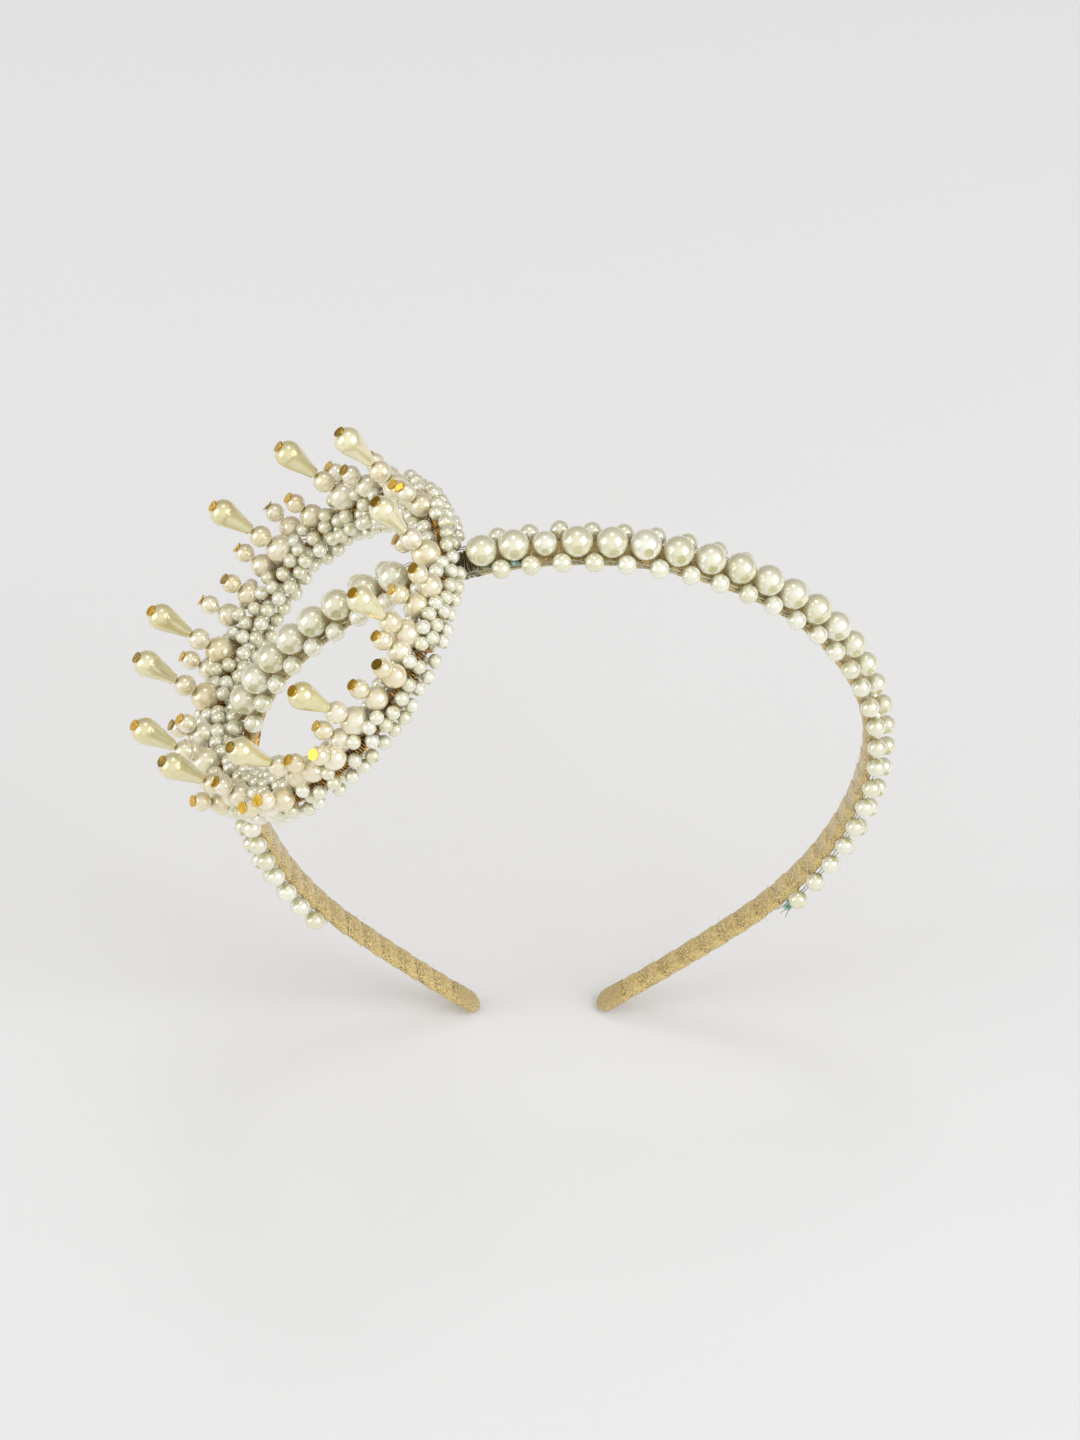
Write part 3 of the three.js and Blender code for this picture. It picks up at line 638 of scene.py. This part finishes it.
# Start, end, end of the rear row, pitch, and steps to the first middle pearl.
ROW_STRETCHES = [
    (-ROW_START_LEFT, -ROW_END_LEFT, -ROW_START_LEFT, SIDE_PITCH, 0),
    (-ROW_START_INSIDE, -ROW_END_INSIDE, -ROW_END_INSIDE, LOOSE_PITCH, 0),
    (0, -CROWN_SEAT, -CROWN_SEAT, TIGHT_PITCH, 1),
    (0, ROW_END_RIGHT, REAR_END, LOOSE_PITCH, 0),
]


def middle_size(distance):
    """Diameter of a middle pearl: one small pearl left of the top, and a taper on each arm."""
    if -1.5 * TIGHT_PITCH < distance < 0:
        return SMALLER
    start, end = (50, 88) if distance > 0 else (88, 104)
    part = max(0, min(1, (abs(distance) - start) / (end - start)))
    part = part * part * (3 - 2 * part)
    return LARGE + (EDGE - LARGE) * part


def row_places(across, height_of, size_of):
    """Distance, diameter and centre of each pearl in a row, left out where the crown sits."""
    places = []
    for start, end, rear_end, pitch, first in ROW_STRETCHES:
        steps = first if across == MIDDLE_ACROSS else 0.5
        way = 1 if end > start else -1
        length = abs((rear_end if across > 0 else end) - start)
        while steps * pitch <= length:
            distance = start + way * steps * pitch
            size = size_of(distance)
            at = beside_band(distance, across, height_of(size))
            if away_from_hoop(at) > SEED_REACH + SEED / 2 + size / 2 + FIT_GAP:
                places.append((distance, size, at))
                take_room(at, size / 2)
            steps += 1
    return sorted(places, key=lambda place: place[0])


def along_band(distance):
    """Direction of the band's line at a distance from the top."""
    ahead = band_place(distance + 0.05)[0] - band_place(distance - 0.05)[0]
    return ahead.normalized()


def jitter(amount):
    """A random step of up to that amount on each axis."""
    return Vector([chance.uniform(-amount, amount) for _ in range(3)])


def edge_row(across, name, node):
    places = row_places(across, lambda size: EDGE_HEIGHT, lambda distance: EDGE)
    beads = copies(edge_bead, [
        (at + jitter(0.14), along_band(distance) + jitter(0.12), chance.random())
        for distance, _, at in places])
    return done(join(name, beads), stands_for=[node])


edge_row(-EDGE_ACROSS, "front_edge_pearls", "front_pearl_row")
edge_row(EDGE_ACROSS, "rear_edge_pearls", "rear_pearl_row")


def middle_height(size):
    """Smaller pearls settle a little closer to the ribbon."""
    return MIDDLE_HEIGHT + LARGE / 2 - (LARGE - size) / 4


middle_places = row_places(MIDDLE_ACROSS, middle_height, middle_size)
for name, node, low, high in (
        ("middle_pearls_right", "middle_pearl_row_right", -CROWN_SEAT, HALF_LENGTH),
        ("middle_pearls_inside", "middle_pearl_row_inside", -LOWER_SEAT, -CROWN_SEAT),
        ("middle_pearls_left", "middle_pearl_row_left", -HALF_LENGTH, -LOWER_SEAT)):
    beads = []
    for distance, size, at in middle_places:
        if not low < distance < high:
            continue
        # The bore runs from front to back.
        normal = band_place(distance)[1]
        bore = (BACK - normal * 0.2 + jitter(0.1)).normalized()
        bead = copies(large_bead, [(Vector(), bore, chance.random())])[0]
        seat = Matrix.Translation((at + jitter(0.1)) * MM)
        bead.data.transform(seat @ Matrix.Scale(size / LARGE, 4))
        beads.append(bead)
    done(join(name, beads), stands_for=[node])


# ---- Stringing wires along the edges ----

def edge_wires(across, name):
    """A pair of fine wires that run through the edge pearls."""
    parts = []
    if across < 0:
        left, right = 1 - ROW_END_LEFT, ROW_END_RIGHT - 1
    else:
        left, right = -LOWER_SEAT - 12, REAR_END
    for start, end in ((left, -LOWER_SEAT - 5), (-LOWER_SEAT + 6, -CROWN_SEAT - 5),
                       (-CROWN_SEAT + 2, right)):
        for shift in (-0.34, 0.34):
            points = []
            count = max(int(abs(end - start) / 1.6), 4)
            for i in range(count + 1):
                distance = start + (end - start) * i / count
                sway = 0.12 * math.sin(distance * 1.9 + shift * 9) + chance.uniform(-0.05, 0.05)
                aside = across * 0.86 + math.copysign(sway, across) * 0.4
                points.append(beside_band(distance, aside, EDGE_HEIGHT * 0.7 + shift + sway))
            parts.append(wire(name, points, 0.11, thread_silver, tone=chance.random()))
    return done(join(name, parts))


edge_wires(-EDGE_ACROSS, "front_stringing_wires")
edge_wires(EDGE_ACROSS, "rear_stringing_wires")


# ---- Crown hoop and its winding ----

def hoop_winding():
    """One long wire wound closely round the hoop."""
    turns, steps = 330, 9
    points = []
    for i in range(turns * steps):
        angle = 360 * i / (turns * steps)
        turn = 2 * math.pi * i / steps
        reach = 1.05 + 0.08 * noise.noise(Vector((angle * 0.3, 0, 0)))
        points.append(on_crown(angle, reach * math.cos(turn), reach * math.sin(turn)))
    return wire("hoop_wire_winding", points, 0.24, hoop_gold, sides=5, cyclic=True, tone=0.8)


done(hoop_winding(), stands_for=["hoop_winding"])


def stray_loops(name, count, material, reach, radius):
    """Loops of fine wire that hold the small pearls down, each at its own slant."""
    parts, steps = [], 14
    for i in range(count):
        angle = 360 * (i + chance.uniform(-0.4, 0.4)) / count
        slant = chance.uniform(-3.5, 3.5)
        wide = reach + chance.uniform(-0.25, 0.35)
        points = []
        for k in range(steps):
            turn = 2 * math.pi * k / steps
            points.append(on_crown(angle + slant * math.sin(turn) / 2, wide * math.cos(turn),
                                   wide * math.sin(turn)))
        if min(away_from_band(point, LOOP_ROOM) for point in points) > FIT_GAP:
            parts.append(wire(name, points, radius, material, sides=4, cyclic=True,
                              tone=chance.random()))
    return done(join(name, parts))


stray_loops("silver_binding_loops", 110, thread_silver, 1.9, 0.1)
stray_loops("gold_binding_loops", 70, hoop_gold, 2.2, 0.16)


# ---- Tall spikes ----

medium_at = (SPIKE_LARGE + SPIKE_MEDIUM) / 2
drop_start = medium_at + SPIKE_MEDIUM / 2 + FIT_GAP
drop_end = drop_start + TEARDROP_LENGTH

for number, angle in enumerate(TEARDROP_ANGLES, 1):
    label = f"{number:02d}"
    pin_end = drop_end + FIT_GAP + PIN_HEAD_THICKNESS
    fan = 2.6 + 2.4 * math.cos(math.radians(angle - 155))
    direction = spike_direction(angle, math.asin(fan / pin_end))
    seat = on_crown(angle, 0, SPIKE_SEAT)
    take_room(seat, SPIKE_LARGE / 2)
    take_room(seat + direction * medium_at, SPIKE_MEDIUM / 2)
    lower = copies(spike_large_bead, [(seat, direction + jitter(0.1), chance.random())])
    upper = copies(spike_medium_bead, [(seat + direction * medium_at, direction, chance.random())])
    done(join(f"spike_round_pearls_{label}", lower + upper),
         stands_for=[f"spike_pearls_{label}"])
    drop = copies(teardrop, [(seat + direction * drop_start, direction, chance.random())])
    done(join(f"drop_pearl_{label}", drop), body=f"teardrop_{label}",
         stands_for=[f"teardrop_bead_{label}"])
    shaft = wire("pin", [seat - direction * 2.8, seat + direction * (drop_end + 0.2)], 0.25,
                 pin_gold, tone=0.6)
    head = copies(pin_head, [(seat + direction * (drop_end - 0.08), direction + jitter(0.08),
                              chance.random())])
    done(join(f"head_pin_{label}", [shaft] + head),
         stands_for=[f"teardrop_pin_{label}"])


# ---- Short spikes ----

short_upper = (SHORT_LARGE + SHORT_SMALL) / 2
short_top = short_upper + SHORT_SMALL / 2


def short_spike(angle, reach):
    """A short spike whose head stands at that distance from the crown's axis."""
    outward = (reach - CROWN_RADIUS) * 0.5
    lean = math.asin(max(-0.5, min(0.75, (reach - CROWN_RADIUS - outward) / (short_top + 0.4))))
    direction = spike_direction(angle, lean)
    seat = on_crown(angle, outward, SHORT_SEAT + chance.uniform(-0.2, 0.2))
    take_room(seat, SHORT_LARGE / 2)
    take_room(seat + direction * short_upper, SHORT_SMALL / 2)
    beads = copies(short_large_bead, [(seat, direction + jitter(0.1), chance.random())])
    beads += copies(short_small_bead, [(seat + direction * short_upper, direction + jitter(0.1),
                                        chance.random())])
    beads += copies(pin_head, [(seat + direction * (short_top - 0.06), direction + jitter(0.12),
                                chance.random())])
    return beads


# Angle round the hoop and reach of the head, for each group between two neighbouring drops.
SHORT_SPIKES = [
    [(18, 34), (44, 40)], [(53, 35), (71, 41.5), (78, 41.5)], [(92, 37), (102, 41), (106, 35)],
    [(124, 36), (133, 40), (141, 35)], [(158, 34), (164, 39)], [(181, 32), (203, 36), (208, 35)],
    [(232, 38), (243, 35), (254, 38)], [(273, 36.5), (283, 41)], [(298, 39), (308, 35), (317, 40)],
    [(3, 37), (4, 34)],
]
for cluster, spikes in enumerate(SHORT_SPIKES, 1):
    parts = [bead for angle, reach in spikes for bead in short_spike(angle, reach)]
    done(join(f"short_spike_group_{cluster:02d}", parts),
         stands_for=[f"short_spikes_{cluster:02d}"])
done(join("single_short_spike", short_spike(336, 38)))


# ---- Small pearls round the hoop ----

def seed_row(name, at, node=None, reach=SEED_REACH, wobble=0.32, close=0.8, tries=1, bare=()):
    """One uneven row of small pearls, left out on bare degrees and where they would not fit."""
    outward = reach * math.cos(math.radians(at))
    height = reach * math.sin(math.radians(at))
    count = round(2 * math.pi * (CROWN_RADIUS + outward) / SEED_PITCH)
    places = []
    for i in range(count):
        for _ in range(tries):
            angle = 360 * (i + chance.uniform(-0.2, 0.2)) / count
            spot = on_crown(angle, outward + chance.uniform(-wobble, wobble),
                            height + chance.uniform(-wobble, wobble))
            if round(angle) % 360 not in bare and has_room(spot, SEED / 2, close):
                bore = on_crown(angle + 1, outward, height) - on_crown(angle - 1, outward, height)
                places.append((spot, bore.normalized() + jitter(0.8), chance.random()))
                take_room(spot, SEED / 2)
                break
    row = join(name, copies(seed_bead, places))
    return done(row, stands_for=[node] if node else [])


seed_row("seed_pearls_outer_upper", 10, "base_pearls_outer_upper")
seed_row("seed_pearls_outer_lower", -50, "base_pearls_outer_lower", bare=range(0, 62))
seed_row("seed_pearls_inner_lower", 230, "base_pearls_inner_lower")
seed_row("seed_pearls_inner_upper", 170, "base_pearls_inner_upper")
# Looser second layers fill what is left between the rows and the spikes.
LOOSE_LAYERS = [(200, 4.9), (140, 4.2), (168, 5.7), (45, 4.0), (105, 4.2)]
for layer, (at, reach) in enumerate(LOOSE_LAYERS, 1):
    seed_row(f"seed_pearls_loose_{layer}", at, reach=reach, wobble=0.8, close=0.78, tries=6)


# ---- Binding wire at the crossings ----

def binding(name, start, end, turns, material, node):
    """Turns of wire laid side by side round the ribbon."""
    points, steps = [], 16
    for i in range(turns * steps + 1):
        part = i / (turns * steps)
        distance = start + (end - start) * part + 0.12 * math.sin(part * 40)
        points.append(ribbon_point(distance, 2 * math.pi * i / steps, RIBBON_WIDTH,
                                   RIBBON_THICKNESS, 0.32 + 0.06 * math.sin(i * 0.7)))
    return done(wire(name, points, 0.26, material, tone=0.6), stands_for=[node])


upper_end = -CROWN_SEAT + WINDING_RADIUS + FIT_GAP
binding("upper_binding_wire", upper_end - 0.4, upper_end + 5.4, 11, tie_steel, "crown_tie_upper")
binding("lower_binding_wire", -LOWER_SEAT - 3, -LOWER_SEAT + 3, 9, hoop_gold, "crown_tie_lower")


# ---- Age: copper bloom and stray fibres ----

def bloom(name, spots):
    """Powdery lumps of copper salt, each (distance, across, height, size) by the band."""
    lumps = []
    for distance, across, height, size in spots:
        bpy.ops.object.select_all(action="DESELECT")
        bpy.ops.mesh.primitive_ico_sphere_add(subdivisions=2, radius=size * MM)
        lump = bpy.context.active_object
        at = beside_band(distance, across, height) * MM
        for spot in lump.data.vertices:
            spot.co *= 1 + 0.45 * noise.noise(spot.co * 2600 + at * 900)
            spot.co += at
        lump.data.materials.append(green_salt)
        bpy.ops.object.shade_smooth()
        lumps.append(lump)
    return done(join(name, lumps))


bloom("verdigris_by_crown", [
    (-11.5 - 0.8 * i, -2.9 + chance.uniform(-0.4, 0.4), 1.3 + chance.uniform(-0.3, 0.3),
     chance.uniform(0.35, 0.6)) for i in range(8)])
bloom("verdigris_at_row_end", [
    (ROW_END_RIGHT + 0.5 + chance.uniform(-0.8, 0.8), -3.2 + chance.uniform(-0.5, 0.5),
     1.6 + chance.uniform(-0.6, 0.6), chance.uniform(0.35, 0.6)) for _ in range(7)])


def row_end_wires():
    """Cut wire ends that stick out past the last pearl on the right."""
    parts = []
    for shift in (-0.5, 0.1, 0.6):
        start = beside_band(ROW_END_RIGHT - 1.5, -3.6 + shift, EDGE_HEIGHT)
        end = beside_band(ROW_END_RIGHT + 3.4 + shift, -3.4 + shift * 2, 2.0 - shift)
        middle = (start + end) / 2 + jitter(0.3)
        parts.append(wire("wire_end", [start, middle, end], 0.1, thread_silver, sides=4))
    return done(join("row_end_wires", parts))


row_end_wires()


def stray_fibres(count):
    """Short fibres pulled out of the ribbon, mostly along its edges."""
    parts = []
    for _ in range(count):
        distance = chance.choice((-1, 1)) * chance.uniform(100, 196)
        turn = chance.choice((0, math.pi)) + chance.gauss(0, 0.5)
        root = ribbon_point(distance, turn, RIBBON_WIDTH, RIBBON_THICKNESS)
        tip = ribbon_point(distance + chance.uniform(-1, 1), turn + chance.uniform(-0.2, 0.2),
                           RIBBON_WIDTH, RIBBON_THICKNESS, chance.uniform(0.6, 1.1))
        middle = (root + tip) / 2 + jitter(0.2)
        parts.append(wire("fibre", [root, middle, tip], 0.035, ribbon_cloth, sides=4))
    return done(join("stray_ribbon_fibres", parts))


stray_fibres(150)


# ---- Finishes on what stays from the CAD model ----

for name in ("band_strip", "crown_hoop"):
    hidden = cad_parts[name]
    hidden.data.materials.clear()
    hidden.data.materials.append(strip_steel)

for model in MODELS:
    bpy.data.objects.remove(model)


# ---- Floor, light and camera ----

bpy.ops.object.select_all(action="DESELECT")
low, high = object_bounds()
bpy.ops.mesh.primitive_plane_add(size=6, location=(0, 0, low[2] - 0.0002))
floor = bpy.context.active_object
floor.name = "floor"
paper = Finish("matt_backdrop_paper", Roughness=0.9)
paper.shader.inputs["Base Color"].default_value = colour("#e2e3e5")
floor.data.materials.append(paper.material)

AZIMUTH, ELEVATION, ROLL = -0.1133, 0.8796, 0.0795  # radians
DISTANCE = 1.32023  # metres
target = Vector((-4.491, 0, -51.953 + TOP_HEIGHT)) * MM
back = Vector((math.sin(AZIMUTH) * math.cos(ELEVATION), -math.cos(AZIMUTH) * math.cos(ELEVATION),
               math.sin(ELEVATION)))
flat_right = Vector((math.cos(AZIMUTH), math.sin(AZIMUTH), 0))
flat_up = back.cross(flat_right)
right = flat_right * math.cos(ROLL) + flat_up * math.sin(ROLL)
up = flat_up * math.cos(ROLL) - flat_right * math.sin(ROLL)

lens = bpy.data.cameras.new("camera")
lens.lens = 163.14
lens.sensor_width = 36
lens.sensor_fit = "AUTO"
camera = bpy.data.objects.new("camera", lens)
camera.matrix_world = Matrix.Translation(target + back * DISTANCE) @ Matrix(
    (right, up, back)).transposed().to_4x4()
bpy.context.scene.collection.objects.link(camera)
bpy.context.scene.camera = camera


def softbox(name, aim, distance, width, height, power):
    """A soft light seen from the object in the direction aim = (right, up, towards camera)."""
    lamp = bpy.data.lights.new(name, "AREA")
    lamp.shape, lamp.size, lamp.size_y, lamp.energy = "RECTANGLE", width, height, power
    holder = bpy.data.objects.new(name, lamp)
    way = (right * aim[0] + up * aim[1] + back * aim[2]).normalized()
    holder.matrix_world = Matrix.Translation(target + way * distance) @ way.to_track_quat(
        "Z", "Y").to_matrix().to_4x4()
    bpy.context.scene.collection.objects.link(holder)


softbox("right_softbox", (0.74, 0.10, 0.66), 1.1, 0.78, 0.85, 5.2)
softbox("left_softbox", (-0.88, 0.10, 0.46), 1.1, 0.58, 0.85, 3.8)
softbox("top_softbox", (0.0, 0.84, 0.54), 1.2, 0.28, 0.28, 1.0)

# A white tent that opens on a darker room behind: brightness falls with the angle from its front.
world = bpy.data.worlds.new("studio")
world.use_nodes = True
nodes, links = world.node_tree.nodes, world.node_tree.links
sky = nodes.new("ShaderNodeTexCoord")
facing = nodes.new("ShaderNodeVectorMath")
facing.operation = "DOT_PRODUCT"
facing.inputs[1].default_value = (0, -0.64, 0.77)
tent = nodes.new("ShaderNodeValToRGB")
for stop, place, code in zip((0, 1), (0, 0.95), ("#a0978a", "#ffffff")):
    tent.color_ramp.elements[stop].position = place
    tent.color_ramp.elements[stop].color = colour(code)
links.new(sky.outputs["Generated"], facing.inputs[0])
links.new(facing.outputs["Value"], tent.inputs[0])
links.new(tent.outputs[0], nodes["Background"].inputs[0])
nodes["Background"].inputs[1].default_value = 0.97
bpy.context.scene.world = world
bpy.context.scene.view_settings.view_transform = "Standard"
